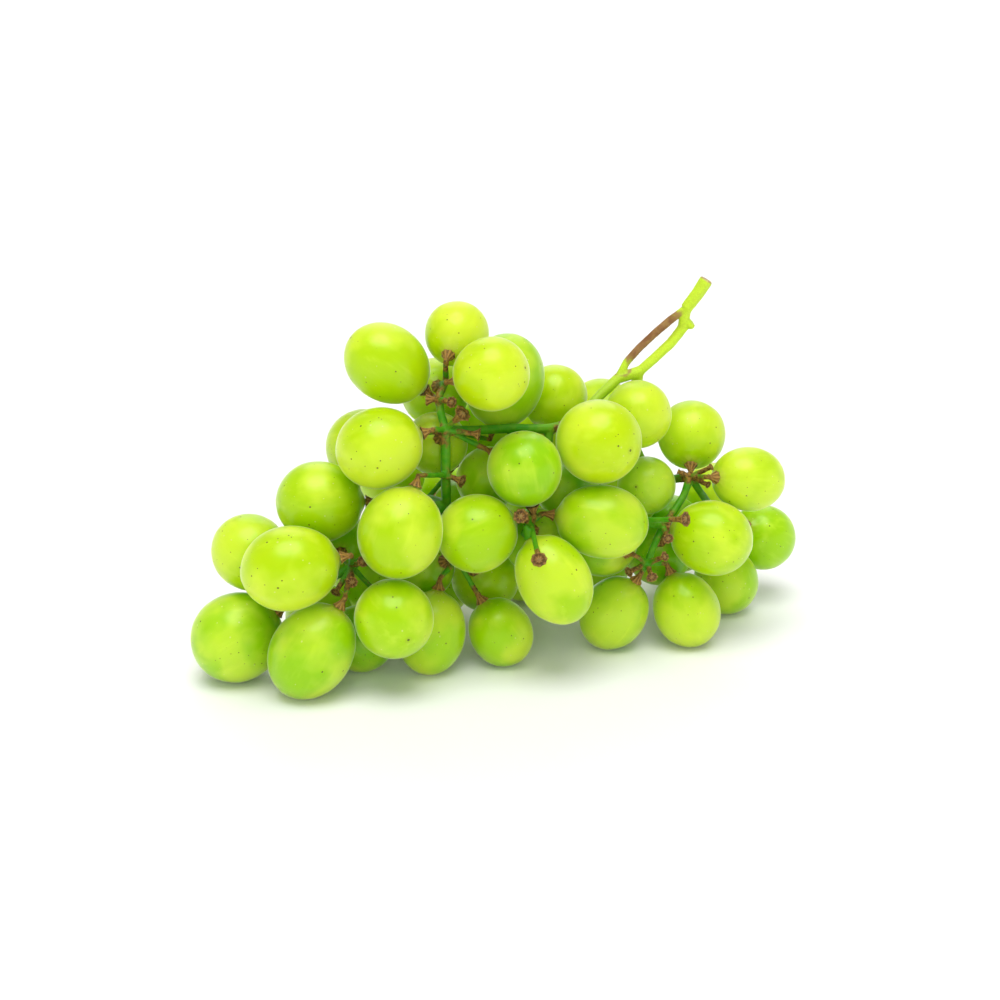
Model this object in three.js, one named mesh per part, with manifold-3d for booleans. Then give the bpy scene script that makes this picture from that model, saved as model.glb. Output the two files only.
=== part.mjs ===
// A bunch of green grapes that lies on a flat surface.
// Millimetres. +Z is up, +X runs along the bunch, +Y points away from the side that faces the viewer.

import * as THREE from 'three';
import { mergeVertices } from 'three/addons/utils/BufferGeometryUtils.js';
import Module from 'manifold-3d';

const wasm = await Module();
wasm.setup();

// Driving dimensions
const AIR_GAP = 0.34;             // air left between two pieces that touch
const PEDICEL_RADIUS = 0.75;      // small stalk of one berry
const PEDICEL_ROOT_RADIUS = 0.95; // the same stalk where it leaves its twig
const CAP_RADIUS = 2.1;           // rim of the trumpet that holds a berry
const CAP_LENGTH = 3.4;           // from the thin neck to the rim
const FLARE_LENGTH = 1.2;         // last stretch of the trumpet, where it opens
const FLARE_RADIUS = 1.7;         // radius at the start of that stretch
const REST_SINK = 0.4;            // how far a resting berry is pressed flat
const FLOOR_REACH = 400;          // side of the block that trims the flat spots

// Number of flats and bands
const BERRY_SIDES = 12;
const BERRY_BANDS = 6;
const TWIG_SIDES = 7;
const PEDICEL_SIDES = 6;
const TWIG_STEP = 6;              // mm of twig to one ring of corners
const PEDICEL_STEP = 4.5;         // mm of pedicel to one ring of corners
const BEADS = 5;                  // loose points along one pedicel while it finds its way

// How the berries settle
const ROUNDS = 420;
const FREE_ROUNDS = 160;          // last rounds, in which nothing is pulled home any more
const SEARCH_STEPS = 4;           // steps towards the direction in which two bodies are furthest apart
const HOME_PULL = 0.12;           // share of the way home that a berry moves in one round
const GATHER_PULL = 0.012;        // share of its distance in depth from its knot, likewise
const SIDE_EASE = 0.4;            // how far a berry gives way sideways, against 1 in depth
const YIELD_TO_PEDICEL = 0.12;    // a berry gives way to a pedicel far less than the pedicel to it
const LEAST_STALK = 4.2;          // least distance from a twig's knot to a berry's stem end

// Stem skeleton: each twig is a run of knots with a radius at its start and at its end.
const FORK = [57, 30, 102];
const ELBOW = [43, 27, 83];
const JOIN = [36, 25, 81];        // the thin arm comes back to the thick one here
const SHOULDER = [31, 22, 77];
const TURN = [15, 8, 70];
const CROSSING = [-16, -7, 74];
const BEND = [-16, -4, 50];
const RIGHT_KNOT = [59, 20, 51];

const TWIGS = {
  peduncle: { radii: [2.1, 1.9], knots: [[63, 30, 111], [60, 30, 106], FORK] },
  red_arm: { radii: [1.2, 1.15], knots: [FORK, [53, 30, 99], [45, 29, 92], [39, 27, 86], JOIN] },
  green_arm: { radii: [1.7, 1.45], knots: [FORK, [56, 31, 95], [49, 29, 88], ELBOW] },
  trunk: { radii: [1.7, 1.6], knots: [ELBOW, JOIN, SHOULDER] },
  cross: { radii: [1.5, 1.3], knots: [SHOULDER, [23, 15, 71], TURN, [4, 5, 71], [-8, -1, 72], CROSSING] },
  upper: { radii: [1.3, 1.0], knots: [CROSSING, [-18, -3, 82], [-16, 2, 86]] },
  down: { radii: [1.4, 1.5], knots: [CROSSING, [-16, -7, 60], BEND] },
  low: { radii: [1.3, 1.1], knots: [BEND, [-13, -4, 42], [-13, -5, 33]] },
  tip: { radii: [1.5, 1.0], knots: [BEND, [-30, -8, 40], [-44, -14, 34], [-58, -18, 25]] },
  centre: { radii: [1.3, 1.1], knots: [TURN, [13, 4, 58], [9, -9, 46]] },
  right: { radii: [1.5, 1.3], knots: [ELBOW, [40, 30, 70], [43, 36, 56], [49, 33, 47], RIGHT_KNOT] },
  right_low: { radii: [1.2, 1.0], knots: [RIGHT_KNOT, [56, 17, 44], [50, 11, 38], [45, 5, 28]] },
  right_spur: { radii: [1.0, 0.9], knots: [[50, 11, 38], [46, 4, 41], [44.5, -1, 44]] },
  right_back: { radii: [1.2, 1.0], knots: [RIGHT_KNOT, [64, 24, 43], [70, 42, 32]] },
  back_left: { radii: [1.2, 1.0], knots: [BEND, [-22, 14, 46], [-24, 28, 40]] },
  back_middle: { radii: [1.2, 1.0], knots: [TURN, [14, 24, 60], [10, 38, 46]] },
  back_right: { radii: [1.2, 1.0], knots: [ELBOW, [43, 42, 62], [41, 48, 50]] },
};

// Berries by the twig they hang on. Each row is the wanted middle x, y, z, then length and width, whether
// the berry rests on the surface, and the direction x, y, z in which its tip points. A row without a
// direction points straight away from its knot.
const RESTS = true;
const HANGS = false;
const BERRIES = {
  upper: [
    [-33, -6, 94, 27, 22.5],
    [-12, 18, 93.2, 20, 19],
    [-3, -4, 90, 22.5, 21.5],
    [0, 19, 81, 29, 24, HANGS, [1, 1, 4]],
    [-34, -12, 69, 25.5, 23.5],
    [-40, 14, 62, 24, 23],
    [-19, 28, 75, 22, 21],
    [-19, 10, 66, 20, 19],
  ],
  cross: [
    [28, -6, 70, 26, 25],
    [-4, 10, 54, 20, 19],
    [20, 14, 50, 21, 20],
  ],
  down: [
    [-29, -32, 50, 27, 24.4, HANGS, [-1, -1, -3]],
    [-20, 10, 46, 20, 19],
    [-53, -8, 51, 26, 24],
  ],
  low: [
    [-21, -14, 12, 26, 20.5, RESTS, [-1, -1, -6]],
    [0, -5, 10, 22, 19, RESTS],
    [-5, 16, 19, 22, 21],
    [-22, 4, 27, 21, 20],
  ],
  tip: [
    [-74, -8, 36, 24, 22.5],
    [-60, -30, 40, 28.5, 24.4, HANGS, [-6, -1, -1]],
    [-77, -19, 13, 28, 26.5, RESTS],
    [-54, -30, 13, 30, 24, RESTS, [-5, -1, -8]],
    [-32, -41, 28, 24, 23],
    [-42, -10, 11, 21, 20, RESTS],
    [-51, 10, 34, 22, 21],
    [-56, 9, 11, 22, 21, RESTS],
  ],
  centre: [
    [7, -12, 63, 22.5, 22, HANGS, [-1, 0, 5]],
    [-7, -14, 45, 24, 23, HANGS, [-9, -2, -3]],
    [30, -8, 46, 28, 22, HANGS, [7, 0, -1]],
    [16, -22, 33, 28, 21.4, HANGS, [5, -2, -9]],
    [11, 4, 37, 21, 20],
  ],
  right: [
    [42, 14, 75, 21, 20.5],
    [60, 31, 60, 22, 21.4],
    [77, 30, 47, 24.5, 20],
  ],
  right_low: [
    [65, 6, 36, 25.5, 23, HANGS, [5, -1, -1]],
    [45.5, 24, 47, 18.5, 18, HANGS, [-2, -4, 1]],
    [33, 20, 28, 21.5, 21],
    [35, 7, 11, 24.5, 20.5, RESTS],
    [57, 14, 11, 24, 20.5, RESTS, [4, -2, -9]],
    [51.5, 33, 20, 21.5, 20.5],
  ],
  right_back: [
    [86, 60, 17, 23, 21.5],
    [74, 38, 11, 22, 21, RESTS],
    [56, 54, 25, 21, 20],
    [69, 46, 36, 21, 20],
    [60, 68, 14, 22, 21],
  ],
  back_left: [
    [-34, 34, 47, 23, 22],
    [-42, 31, 15.5, 23, 22],
    [-5, 40, 59, 23, 22],
    [-16, 52, 34, 23, 22],
    [-20, 36, 12, 22, 21, RESTS],
  ],
  back_middle: [
    [17, 31, 73, 21, 20],
    [10, 54, 58, 23, 22],
    [10, 64, 32, 23, 22],
    [8, 50, 12, 22, 21, RESTS],
  ],
  back_right: [
    [44, 44, 43, 20, 19],
    [34, 62, 58, 23, 22],
    [34, 68, 36, 23, 22],
    [34, 60, 12, 22, 21, RESTS],
  ],
};

// Bare pedicels and knobs, left where berries dropped off: twig, tip and rim radius.
const BARE = [
  ['green_arm', [59, 30, 97.5], 1.6],
  ['upper', [-23.5, -4, 84.4], 2.0],
  ['upper', [-14, -10, 83], 1.7],
  ['cross', [-9, -9, 82], 2.6],
  ['down', [-6, -9, 73], 1.9],
  ['upper', [-2, -4, 66], 1.3],
  ['down', [-11, -10, 59], 2.0],
  ['centre', [11, -36, 44], 2.3],
  ['centre', [4, -17, 50], 2.2],
  ['centre', [5, -16, 43], 1.4],
  ['right', [54, 21, 52], 1.1],
  ['right', [66, 18, 54.5], 1.2],
  ['right', [64, 15, 50], 1.2],
  ['right_spur', [55, -9, 47], 2.3],
  ['right_low', [51, 2, 37], 1.7],
  ['right_low', [50, 0, 32], 1.6],
  ['right_low', [46, -2, 26], 1.8],
  ['right_low', [39, 0, 27], 1.6],
  ['tip', [-40, -21, 38], 1.7],
  ['tip', [-43, -25, 33], 1.8],
  ['tip', [-48, -23, 29], 1.6],
];

const UP = new THREE.Vector3(0, 0, 1);
const VIEW_HEIGHT = THREE.MathUtils.degToRad(18);
const DEPTH = new THREE.Vector3(0, Math.cos(VIEW_HEIGHT), -Math.sin(VIEW_HEIGHT));
const LATHE_AXIS = new THREE.Vector3(0, 1, 0);
const START_ACROSS = new THREE.Vector3(1, 3, 1);   // slanted, so that it lies along no twig

const vector = (place) => new THREE.Vector3(...place);

// Closed three.js geometry as a solid that can be joined and cut.
function asSolid(geometry) {
  const bare = geometry.clone();
  bare.deleteAttribute('normal');
  bare.deleteAttribute('uv');
  const merged = mergeVertices(bare);
  const corners = Array.from(merged.index.array);
  const triangles = [];
  for (let i = 0; i < corners.length; i += 3) {
    const [a, b, c] = corners.slice(i, i + 3);
    if (a !== b && b !== c && c !== a) {
      triangles.push(a, b, c);
    }
  }
  return new wasm.Manifold(new wasm.Mesh({
    numProp: 3,
    vertProperties: new Float32Array(merged.attributes.position.array),
    triVerts: new Uint32Array(triangles),
  }));
}

// Solid back as a named mesh.
function asMesh(name, solid, material) {
  const { vertProperties, triVerts } = solid.getMesh();
  const geometry = new THREE.BufferGeometry();
  geometry.setAttribute('position', new THREE.BufferAttribute(vertProperties, 3));
  geometry.setIndex(new THREE.BufferAttribute(triVerts, 1));
  geometry.computeVertexNormals();
  const mesh = new THREE.Mesh(geometry, material);
  mesh.name = name;
  return mesh;
}

// Smooth curve through a run of knots.
function curveThrough(knots) {
  return new THREE.CatmullRomCurve3(knots, false, 'centripetal');
}

// Rod along a curve: a lathed spindle with a ring of corners for each radius, its rings moved onto the
// curve. A ring is [share of the curve's length, radius].
function bentRod(curve, rings, sides) {
  const last = rings.length - 1;
  const profile = [new THREE.Vector2(0, 0)];
  rings.forEach(([, radius], ring) => profile.push(new THREE.Vector2(radius, ring)));
  profile.push(new THREE.Vector2(0, last));
  const rod = new THREE.LatheGeometry(profile, sides);

  const across = START_ACROSS.clone();
  const frames = rings.map(([share]) => {
    const tangent = curve.getTangentAt(share);
    across.projectOnPlane(tangent).normalize();
    return { place: curve.getPointAt(share), across: across.clone(), third: tangent.cross(across) };
  });
  const corners = rod.attributes.position;
  for (let i = 0; i < corners.count; i += 1) {
    const frame = frames[Math.round(corners.getY(i))];
    const place = frame.place.clone();
    place.addScaledVector(frame.third, corners.getX(i));
    place.addScaledVector(frame.across, corners.getZ(i));
    corners.setXYZ(i, place.x, place.y, place.z);
  }
  return asSolid(rod);
}

// Twig that tapers evenly from its start to its end.
function twigSolid(twig) {
  const curve = curveThrough(twig.knots.map(vector));
  const steps = Math.max(2, Math.round(curve.getLength() / TWIG_STEP));
  const [start, end] = twig.radii;
  const rings = Array.from({ length: steps + 1 }, (_, i) => [i / steps, start + (end - start) * i / steps]);
  return bentRod(curve, rings, TWIG_SIDES);
}

// Half-width of an egg-shaped body along the unit direction n.
function reach(body, n) {
  const along = body.axis.dot(n);
  return Math.sqrt(body.wide ** 2 + (body.half ** 2 - body.wide ** 2) * along ** 2);
}

// From the body's middle to the point of its skin that lies furthest along n.
function skinPoint(body, n) {
  const along = body.axis.dot(n);
  return n.clone()
    .multiplyScalar(body.wide ** 2)
    .addScaledVector(body.axis, (body.half ** 2 - body.wide ** 2) * along)
    .divideScalar(reach(body, n));
}

// Direction in which two bodies are furthest apart, and the air between them in that direction.
function separation(a, b) {
  const between = b.centre.clone().sub(a.centre);
  const n = between.clone().normalize();
  for (let step = 0; step < SEARCH_STEPS; step += 1) {
    const slack = between.clone().sub(skinPoint(a, n)).sub(skinPoint(b, n));
    slack.addScaledVector(n, -slack.dot(n));
    n.addScaledVector(slack, 1 / between.length()).normalize();
  }
  return { n, air: between.dot(n) - reach(a, n) - reach(b, n) };
}

// Moves two bodies apart, each by its own ease, until the air gap is between them.
function pushApart(a, b, easeOfA, easeOfB) {
  if (a.centre.distanceTo(b.centre) > a.half + b.half + AIR_GAP) {
    return;
  }
  const { n, air } = separation(a, b);
  if (air >= AIR_GAP) {
    return;
  }
  const way = n.clone().multiplyScalar(SIDE_EASE).addScaledVector(DEPTH, (1 - SIDE_EASE) * n.dot(DEPTH));
  const step = (AIR_GAP - air) / (n.dot(way) * (easeOfA + easeOfB));
  a.centre.addScaledVector(way, -step * easeOfA);
  b.centre.addScaledVector(way, step * easeOfB);
}

// Round body of a given radius.
function ball(centre, radius) {
  return { centre, axis: UP, half: radius, wide: radius };
}

// Balls strung closely along a twig, which the berries keep clear of.
function twigBalls(twig) {
  const curve = curveThrough(twig.knots.map(vector));
  const count = Math.ceil(curve.getLength() / Math.min(...twig.radii));
  const [start, end] = twig.radii;
  return curve.getSpacedPoints(count)
    .map((place, i) => ball(place, start + (end - start) * i / count));
}

// Knot of a twig that lies nearest to a place.
function nearestKnot(twig, place) {
  const knots = TWIGS[twig].knots.map(vector);
  return knots.reduce((best, knot) => (knot.distanceTo(place) < best.distanceTo(place) ? knot : best));
}

// Loose points from a root to a stem end.
function loosePoints(root, end, radius) {
  return Array.from({ length: BEADS }, (_, i) => (
    ball(root.clone().lerp(end, (i + 1) / (BEADS + 1)), radius)
  ));
}

function makeBerry([x, y, z, length, width, rests, tip], twig) {
  const centre = new THREE.Vector3(x, y, z);
  const turned = Boolean(tip);
  const berry = { centre, half: length / 2, wide: width / 2, home: centre.clone(), rests, turned };
  if (turned) {
    berry.axis = vector(tip).normalize();
    berry.root = nearestKnot(twig, stemEnd(berry, CAP_LENGTH));
  } else {
    berry.root = nearestKnot(twig, centre);
    berry.axis = centre.clone().sub(berry.root).normalize();
  }
  berry.beads = loosePoints(berry.root, stemEnd(berry, CAP_LENGTH), PEDICEL_RADIUS);
  return berry;
}

// Point on the berry's axis, outside its stem end by the given distance.
function stemEnd(berry, outside) {
  return berry.centre.clone().addScaledVector(berry.axis, -berry.half - AIR_GAP - outside);
}

function makeBare([twig, tip, rim]) {
  const end = ball(vector(tip), rim);
  const root = nearestKnot(twig, end.centre);
  return { root, end, rim, beads: loosePoints(root, end.centre, PEDICEL_RADIUS) };
}

// Pulls a berry towards its wanted place. Only a resting one is held in depth as well: the others are
// gathered in towards their knots, so that the bunch closes up.
function pullHome(berry) {
  const way = berry.home.clone().sub(berry.centre);
  if (!berry.rests) {
    way.projectOnPlane(DEPTH);
  }
  berry.centre.addScaledVector(way, HOME_PULL);
  const inwards = berry.root.clone().sub(berry.centre).dot(DEPTH);
  berry.centre.addScaledVector(DEPTH, inwards * GATHER_PULL);
}

// Keeps a berry on or above the surface. A resting one stays pressed into it.
function keepOnSurface(berry) {
  const bottom = berry.centre.z - reach(berry, UP);
  if (berry.rests || bottom < 0) {
    berry.centre.z -= bottom + (berry.rests ? REST_SINK : 0);
  }
}

// Holds a berry at least one short stalk away from the knot that its axis comes from.
function keepStalk(berry) {
  if (berry.turned) {
    return;
  }
  const away = berry.centre.clone().sub(berry.root);
  const least = berry.half + AIR_GAP + LEAST_STALK;
  if (away.length() < least) {
    berry.centre.copy(berry.root).addScaledVector(away.normalize(), least);
  }
}

// Draws the loose points of one pedicel even, and clear of the berries.
function layPedicel(beads, root, end, berries) {
  const run = [root, ...beads.map((bead) => bead.centre), end];
  beads.forEach((bead, i) => {
    const even = run[i].clone().add(run[i + 2]).multiplyScalar(0.5);
    bead.centre.lerp(even, 0.5);
  });
  beads.forEach((bead) => {
    berries.forEach((berry) => pushApart(bead, berry, 1, YIELD_TO_PEDICEL));
  });
}

// A berry's cap keeps clear of the other berries, and takes its own berry along.
function clearCap(berry, berries) {
  const cap = ball(stemEnd(berry, CAP_RADIUS), CAP_RADIUS);
  const before = cap.centre.clone();
  berries.filter((other) => other !== berry).forEach((other) => pushApart(cap, other, 1, 1));
  berry.centre.add(cap.centre.sub(before));
}

// Lets all berries and pedicels find room among each other and round the twigs.
function settle(berries, bares) {
  const balls = Object.values(TWIGS).flatMap(twigBalls);
  for (let round = 0; round < ROUNDS; round += 1) {
    if (round < ROUNDS - FREE_ROUNDS) {
      berries.forEach(pullHome);
    }
    berries.forEach((berry, i) => {
      berries.slice(i + 1).forEach((other) => pushApart(berry, other, 1, 1));
      balls.forEach((twigBall) => pushApart(berry, twigBall, 1, 0));
      keepStalk(berry);
    });
    berries.forEach((berry) => {
      clearCap(berry, berries);
      layPedicel(berry.beads, berry.root, stemEnd(berry, CAP_LENGTH), berries);
    });
    bares.forEach((bare) => {
      berries.forEach((berry) => pushApart(bare.end, berry, 1, YIELD_TO_PEDICEL));
      layPedicel(bare.beads, bare.root, bare.end.centre, berries);
    });
    berries.forEach(keepOnSurface);
  }
}

// Berry: a lathed half ellipse from the stem end to the tip.
function berrySolid(berry) {
  const profile = [new THREE.Vector2(0, -berry.half)];
  for (let band = 1; band < BERRY_BANDS; band += 1) {
    const turn = Math.PI * band / BERRY_BANDS;
    profile.push(new THREE.Vector2(Math.sin(turn) * berry.wide, -Math.cos(turn) * berry.half));
  }
  profile.push(new THREE.Vector2(0, berry.half));
  const egg = new THREE.LatheGeometry(profile, BERRY_SIDES);
  egg.applyQuaternion(new THREE.Quaternion().setFromUnitVectors(LATHE_AXIS, berry.axis));
  egg.translate(berry.centre.x, berry.centre.y, berry.centre.z);
  return asSolid(egg);
}

// Block of air above the surface, which trims the resting berries flat.
function spaceAboveSurface() {
  const block = new THREE.BoxGeometry(FLOOR_REACH, FLOOR_REACH, FLOOR_REACH);
  block.translate(0, 0, FLOOR_REACH / 2);
  return asSolid(block);
}

// Pedicel with a flared cap at its end.
function pedicelSolid(places, rim) {
  const curve = curveThrough(places);
  const length = curve.getLength();
  const stalk = Math.max(length - CAP_LENGTH, length / 2);
  const steps = Math.max(1, Math.round(stalk / PEDICEL_STEP));
  const rings = [[0, PEDICEL_ROOT_RADIUS]];
  for (let step = 1; step <= steps; step += 1) {
    rings.push([stalk * step / steps / length, PEDICEL_RADIUS]);
  }
  rings.push([1 - FLARE_LENGTH / length, Math.min(FLARE_RADIUS, rim)]);
  rings.push([1, rim]);
  return bentRod(curve, rings, PEDICEL_SIDES);
}

function berryPedicel(berry) {
  const places = [
    berry.root,
    ...berry.beads.map((bead) => bead.centre),
    stemEnd(berry, CAP_LENGTH),
    stemEnd(berry, 0),
  ];
  return pedicelSolid(places, CAP_RADIUS);
}

function barePedicel(bare) {
  const places = [bare.root, ...bare.beads.map((bead) => bead.centre), bare.end.centre];
  return pedicelSolid(places, bare.rim);
}

function stemSolid(berries, bares) {
  const twigs = Object.values(TWIGS).map(twigSolid);
  const pedicels = [...berries.map(berryPedicel), ...bares.map(barePedicel)];
  return [...twigs, ...pedicels].reduce((joined, piece) => joined.add(piece));
}

function berrySkin() {
  return new THREE.MeshStandardMaterial({ color: 0xa9cc1f, roughness: 0.35, metalness: 0 });
}

function stemBark() {
  return new THREE.MeshStandardMaterial({ color: 0x8a8f3c, roughness: 0.7, metalness: 0 });
}

function makeBunch() {
  const berries = Object.entries(BERRIES)
    .flatMap(([twig, rows]) => rows.map((row) => makeBerry(row, twig)));
  const bares = BARE.map(makeBare);
  settle(berries, bares);

  const bunch = new THREE.Group();
  bunch.add(asMesh('stem', stemSolid(berries, bares), stemBark()));
  const skin = berrySkin();
  const above = spaceAboveSurface();
  berries.forEach((berry, i) => {
    const name = `berry_${String(i + 1).padStart(2, '0')}`;
    const whole = berrySolid(berry);
    bunch.add(asMesh(name, berry.rests ? whole.intersect(above) : whole, skin));
  });
  return bunch;
}

// Origin under the middle of the bunch, on the surface it lies on.
function centreOnSurface(bunch) {
  const middle = new THREE.Box3().setFromObject(bunch).getCenter(new THREE.Vector3());
  bunch.position.set(-middle.x, -middle.y, 0);
  return bunch;
}

const group = centreOnSurface(makeBunch());
export default group;
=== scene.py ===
"""A bunch of green grapes on a pale floor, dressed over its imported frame.

Every berry and the stem are read from the frame, made finer and given their skin and bark. Metres, +Z up.
"""

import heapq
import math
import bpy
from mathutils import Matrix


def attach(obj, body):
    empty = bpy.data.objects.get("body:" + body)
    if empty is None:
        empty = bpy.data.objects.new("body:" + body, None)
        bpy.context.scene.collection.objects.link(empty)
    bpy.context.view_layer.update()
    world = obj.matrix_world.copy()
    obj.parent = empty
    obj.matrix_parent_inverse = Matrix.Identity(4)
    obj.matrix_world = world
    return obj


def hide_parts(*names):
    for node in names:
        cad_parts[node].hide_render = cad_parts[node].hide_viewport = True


bl_info = {
    "name": "Bunch of green grapes",
    "version": (1, 0, 0),
    "blender": (4, 5, 0),
    "location": "3D View > Sidebar > Grapes",
    "description": "Fine berries and stem over the frame, with a pale stage",
    "category": "Object",
}

import bmesh
import bpy
import numpy as np
from bpy.props import FloatProperty, FloatVectorProperty, IntProperty, PointerProperty
from mathutils import Quaternion, Vector

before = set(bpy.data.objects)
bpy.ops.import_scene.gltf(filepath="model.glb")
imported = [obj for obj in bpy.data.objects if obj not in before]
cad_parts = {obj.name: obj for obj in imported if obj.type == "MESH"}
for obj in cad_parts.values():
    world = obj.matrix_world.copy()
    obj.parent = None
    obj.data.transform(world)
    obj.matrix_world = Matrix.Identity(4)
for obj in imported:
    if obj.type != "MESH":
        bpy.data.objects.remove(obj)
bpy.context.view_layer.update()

MM = 0.001
STEM_NODE = "stem"
BERRY_NODES = sorted(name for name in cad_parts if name.startswith("berry_"))


# Settings

class BerrySettings(bpy.types.PropertyGroup):
    """Form and colour of the berries."""

    sides: IntProperty(name="Sides", description="Faces round a berry", default=72, min=12)
    rings: IntProperty(name="Rings", description="Faces from stem end to tip", default=52, min=8)
    fullness: FloatProperty(
        name="Fullness", description="How much fuller the tip half is than the stem half", default=0.012)
    waviness: FloatProperty(
        name="Waviness", description="Height of the slow swellings of the skin",
        default=0.16 * MM, unit="LENGTH", precision=5)
    dimple: FloatProperty(
        name="Dimple", description="Depth of the ring-shaped dip round the cap",
        default=0.30 * MM, unit="LENGTH", precision=5)
    lip: FloatProperty(
        name="Lip", description="How far the skin rises into the cap",
        default=0.42 * MM, unit="LENGTH", precision=5)
    scar: FloatProperty(
        name="Scar", description="Radius of the scar that the blossom left at the tip",
        default=0.50 * MM, unit="LENGTH", precision=5)
    # Deep green also stands for painted shade: crowded and low berries are mixed towards it.
    deep_and_shaded_green: FloatVectorProperty(
        name="Deep green", description="Colour of the greenest berries", subtype="COLOR",
        size=3, min=0, max=1, default=(0.05, 0.42, 0.001))
    ripe: FloatVectorProperty(
        name="Ripe green", description="Colour of the yellowest berries", subtype="COLOR",
        size=3, min=0, max=1, default=(0.465, 0.63, 0.001))
    haze: FloatVectorProperty(
        name="Haze", description="Colour of the pale bloom on the skin", subtype="COLOR",
        size=3, min=0, max=1, default=(0.74, 0.86, 0.08))
    speck: FloatVectorProperty(
        name="Speck", description="Colour of the specks and scars", subtype="COLOR",
        size=3, min=0, max=1, default=(0.045, 0.028, 0.008))


class StemSettings(bpy.types.PropertyGroup):
    """Form and colour of the stem."""

    grain: FloatProperty(
        name="Grain", description="Size of the faces of the stem",
        default=0.34 * MM, unit="LENGTH", precision=5)
    knobbliness: FloatProperty(
        name="Knobbliness", description="Height of the knobs and ridges of the bark",
        default=0.30 * MM, unit="LENGTH", precision=5)
    growth: FloatProperty(
        name="Growth", description="Thickness given back after smoothing",
        default=0.12 * MM, unit="LENGTH", precision=5)
    brown_reach: FloatProperty(
        name="Brown reach", description="Length of pedicel that has turned brown behind each cap",
        default=6.5 * MM, unit="LENGTH", precision=5)
    # Painted light and shade: the stem is bright green within this reach of the cut end, and the twigs
    # further in get painted shade.
    painted_light_reach: FloatProperty(
        name="Fresh reach", description="How far the bright green goes down from the cut end",
        default=52 * MM, unit="LENGTH", precision=5)
    cap_sides: IntProperty(name="Cap sides", description="Faces round a cap", default=30, min=12)
    flutes: IntProperty(name="Flutes", description="Ridges along a cap", default=8, min=3)
    bright: FloatVectorProperty(
        name="Bright green", description="Colour of the cut end and the arms of the fork", subtype="COLOR",
        size=3, min=0, max=1, default=(0.62, 0.84, 0.035))
    # Painted shade: this darker green on the twigs inside the bunch stands for the shade that falls there.
    painted_shade_green: FloatVectorProperty(
        name="Dim green", description="Colour of the twigs inside the bunch", subtype="COLOR",
        size=3, min=0, max=1, default=(0.04, 0.28, 0.001))
    brown: FloatVectorProperty(
        name="Brown bark", description="Colour of the caps and the ends of the pedicels", subtype="COLOR",
        size=3, min=0, max=1, default=(0.34, 0.18, 0.032))
    red: FloatVectorProperty(
        name="Red arm", description="Colour of the reddish arm of the fork", subtype="COLOR",
        size=3, min=0, max=1, default=(0.24, 0.105, 0.035))


class StageSettings(bpy.types.PropertyGroup):
    """Camera, floor and light."""

    distance: FloatProperty(
        name="Distance", description="From the camera to the middle of the bunch",
        default=560 * MM, unit="LENGTH")
    height_angle: FloatProperty(
        name="Height angle", description="How steeply the camera looks down",
        default=math.radians(18), subtype="ANGLE")
    lens: FloatProperty(name="Lens", description="Focal length in millimetres", default=67.2)
    aim: FloatVectorProperty(
        name="Aim", description="Point that the camera looks at", subtype="XYZ", unit="LENGTH",
        size=3, default=(-2.8 * MM, -15.3 * MM, 50 * MM))
    floor_radius: FloatProperty(
        name="Floor radius", description="From the bunch to the screen round the floor",
        default=8.0, unit="LENGTH")
    screen_height: FloatProperty(
        name="Screen height", description="Height of the bright screen round the floor",
        default=1.8, unit="LENGTH")
    key: FloatProperty(name="Key light", description="Strength of the broad light overhead", default=2.25)
    key_size: FloatProperty(
        name="Key size", description="How broad the light overhead looks from the bunch",
        default=math.radians(44), subtype="ANGLE")
    key_height: FloatProperty(
        name="Key height", description="How high that light stands, from the side of the camera",
        default=math.radians(76), subtype="ANGLE")
    back: FloatProperty(name="Back light", description="Strength of the broad light behind", default=0.6)
    back_height: FloatProperty(
        name="Back height", description="How high the back light stands, from the side of the camera",
        default=math.radians(142), subtype="ANGLE")
    front: FloatProperty(name="Front light", description="Strength of the low light in front", default=0.8)
    front_height: FloatProperty(
        name="Front height", description="How high the front light stands, from the side of the camera",
        default=math.radians(24), subtype="ANGLE")
    sky: FloatProperty(name="Sky", description="Strength of the light from all other sides", default=0.30)


# Node helpers

def plug(tree, value, socket):
    """Links a field to a socket, or sets a plain value on it."""
    if isinstance(value, Field):
        tree.links.new(value.socket, socket)
    elif value is not None:
        socket.default_value = value


class Field:
    """A node socket that takes part in sums: each operation adds one Math node to the tree."""

    def __init__(self, tree, socket):
        self.tree = tree
        self.socket = socket

    def math(self, operation, *others, clamp=False):
        node = self.tree.nodes.new("ShaderNodeMath")
        node.operation = operation
        node.use_clamp = clamp
        for value, socket in zip((self, *others), node.inputs):
            plug(self.tree, value, socket)
        return Field(self.tree, node.outputs[0])

    def __add__(self, other):
        return self.math("ADD", other)

    def __sub__(self, other):
        return self.math("SUBTRACT", other)

    def __mul__(self, other):
        return self.math("MULTIPLY", other)

    def __truediv__(self, other):
        return self.math("DIVIDE", other)

    def step(self, low, high):
        """0 up to low, 1 from high on, smooth between them. Low may be the greater one."""
        node = self.tree.nodes.new("ShaderNodeMapRange")
        node.interpolation_type = "SMOOTHSTEP"
        flipped = low > high
        for name, value in (("Value", self), ("From Min", min(low, high)), ("From Max", max(low, high)),
                            ("To Min", float(flipped)), ("To Max", float(not flipped))):
            plug(self.tree, value, node.inputs[name])
        return Field(self.tree, node.outputs["Result"])

    def hill(self, middle, width):
        """Bell curve of this field, 1 at the middle."""
        offset = (self - middle) / width
        return (offset * offset * -1.0).math("EXPONENT")


def node_with(tree, kind, output=0, inputs=None, **settings):
    """Adds a node with its settings and inputs, and returns one of its outputs as a field."""
    node = tree.nodes.new(kind)
    for name, value in settings.items():
        setattr(node, name, value)
    for name, value in (inputs or {}).items():
        plug(tree, value, node.inputs[name])
    return Field(tree, node.outputs[output])


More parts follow.
